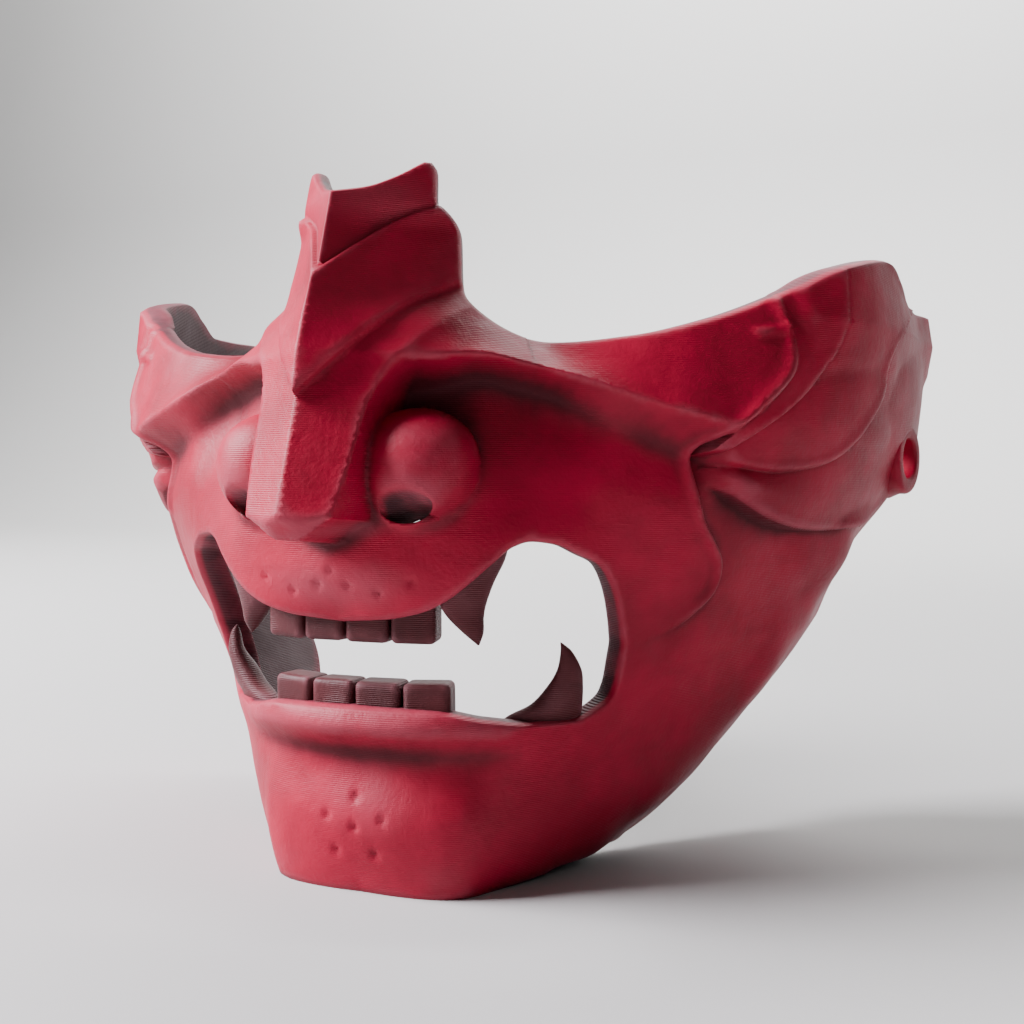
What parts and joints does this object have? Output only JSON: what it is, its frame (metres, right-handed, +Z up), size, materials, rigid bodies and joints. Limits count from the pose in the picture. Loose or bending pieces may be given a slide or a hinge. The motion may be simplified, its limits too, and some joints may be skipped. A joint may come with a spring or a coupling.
{
  "type": "samurai face guard",
  "caption": "Rigid half mask with nose, open toothed mouth, fangs and tie bosses that covers the lower face under a helmet.",
  "frame": {"origin": "on the ground, under the middle of the part's box", "axes": "+Z up, -Y the way the face looks, +X towards the wearer's left side"},
  "size_m": [0.1668, 0.1158, 0.1193],
  "materials": {
    "red_print": "brushed red paint with a dark wash in the hollows, satin",
    "dark_print": "dark maroon wash over red, matte"
  },
  "bodies": {
    "root": {"mask_shell": "red_print", "bridge_band": "red_print", "front_leaf_right": "red_print", "front_leaf_left": "red_print", "middle_leaf_right": "red_print", "middle_leaf_left": "red_print", "rear_leaf_right": "red_print", "rear_leaf_left": "red_print", "strap_boss_right": "red_print", "strap_boss_left": "red_print", "upper_tooth_1": "dark_print", "upper_tooth_2": "dark_print", "upper_tooth_3": "dark_print", "upper_tooth_4": "dark_print", "lower_tooth_1": "dark_print", "lower_tooth_2": "dark_print", "lower_tooth_3": "dark_print", "lower_tooth_4": "dark_print", "upper_fang_right": "dark_print", "upper_fang_left": "dark_print", "lower_fang_right": "dark_print", "lower_fang_left": "dark_print"}
  },
  "joints": []
}
